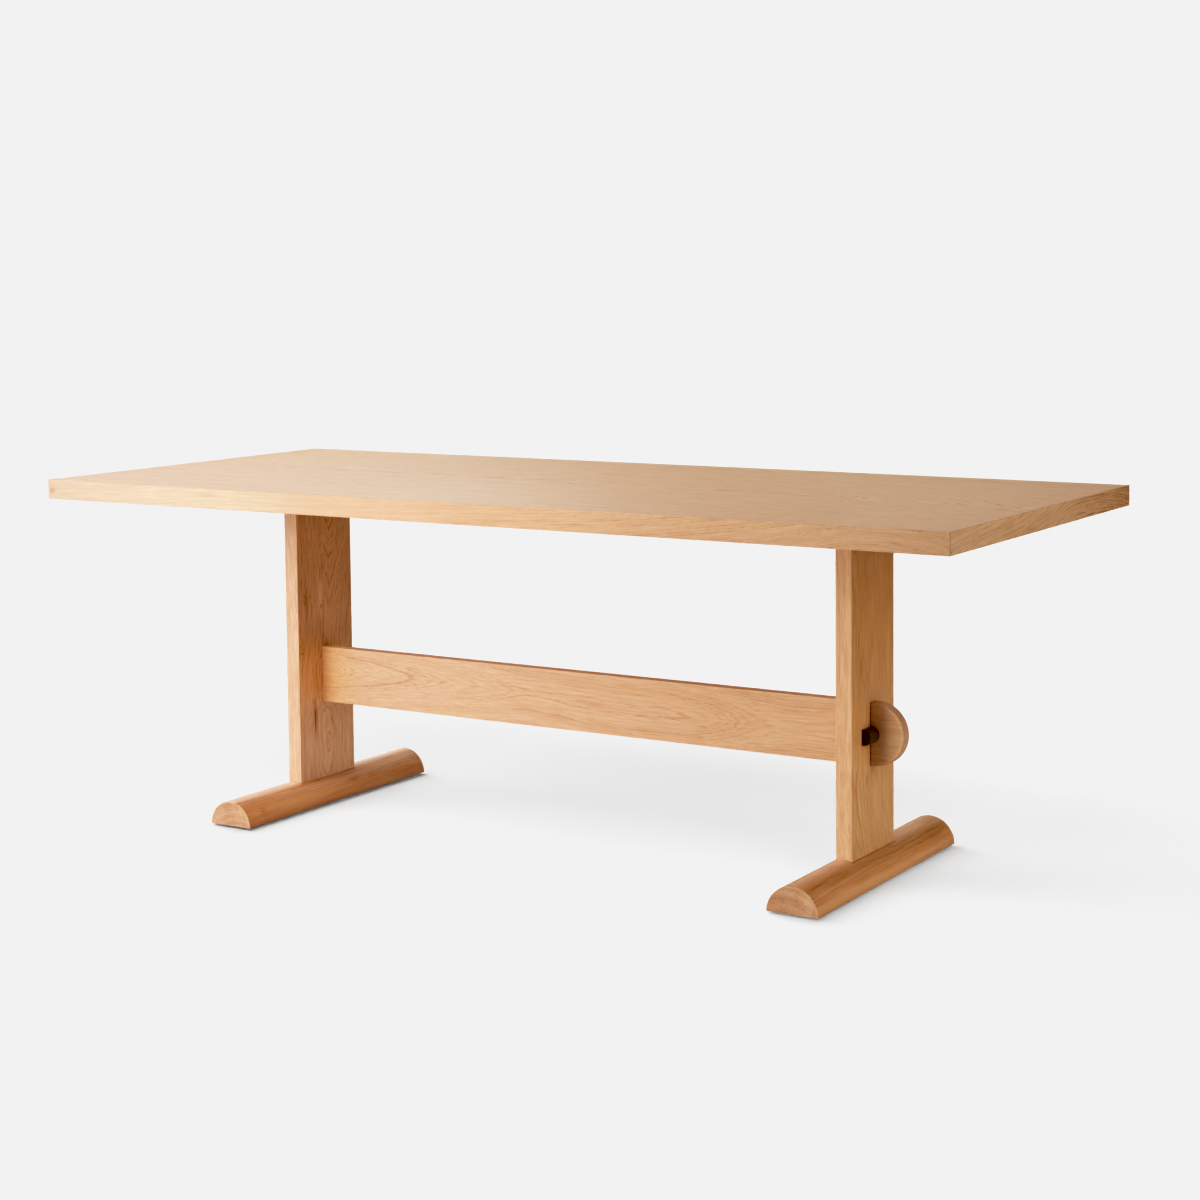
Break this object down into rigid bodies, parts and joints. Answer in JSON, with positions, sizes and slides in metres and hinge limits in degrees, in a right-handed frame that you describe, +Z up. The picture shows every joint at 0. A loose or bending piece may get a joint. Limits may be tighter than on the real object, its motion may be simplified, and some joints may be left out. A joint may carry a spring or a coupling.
{
  "type": "trestle dining table",
  "caption": "Rectangular dining table on a trestle base: upright boards in half-round feet, joined by a keyed through-tenon stretcher.",
  "frame": {"origin": "on the floor under the middle of the table: x and y at the middle of the top, z at the undersides of the glides", "axes": "+X along the top's length, +Y across its width, +Z up; the long side at -Y is the front"},
  "size_m": [2.134, 0.914, 0.76],
  "materials": {
    "oak_face": "matt oiled oak veneer, grain along the length",
    "oak_back": "matt oak veneer",
    "oak_edge": "matt oiled solid oak",
    "oak_frame": "matt oiled solid oak",
    "oak_foot": "matt oiled solid oak",
    "oak_bearer": "planed solid oak",
    "panel_core": "panel core, hidden",
    "walnut": "matt dark walnut",
    "steel": "zinc-plated steel",
    "brass": "plain brass",
    "nylon": "dark brown nylon"
  },
  "bodies": {
    "table": {"top_core": "panel_core", "top_face_veneer": "oak_face", "top_back_veneer": "oak_back", "lipping_front": "oak_edge", "lipping_back": "oak_edge", "lipping_left": "oak_edge", "lipping_right": "oak_edge", "left_post": "oak_frame", "right_post": "oak_frame", "left_foot": "oak_foot", "right_foot": "oak_foot", "left_bearer": "oak_bearer", "right_bearer": "oak_bearer", "stretcher": "oak_frame", "bearer_bolts": "steel", "bearer_washers": "steel", "threaded_inserts": "brass", "bearer_screws": "steel", "foot_screws": "steel", "foot_glides": "nylon", "glide_nails": "steel"},
    "left_key": {"left_key": "walnut"},
    "right_key": {"right_key": "walnut"}
  },
  "joints": [
    {"name": "left_key_slide", "type": "slide", "parent": "table", "child": "left_key", "axis": [0, -1, 0], "range_m": [-0.16, 0.16]},
    {"name": "right_key_slide", "type": "slide", "parent": "table", "child": "right_key", "axis": [0, -1, 0], "range_m": [-0.16, 0.16]}
  ]
}
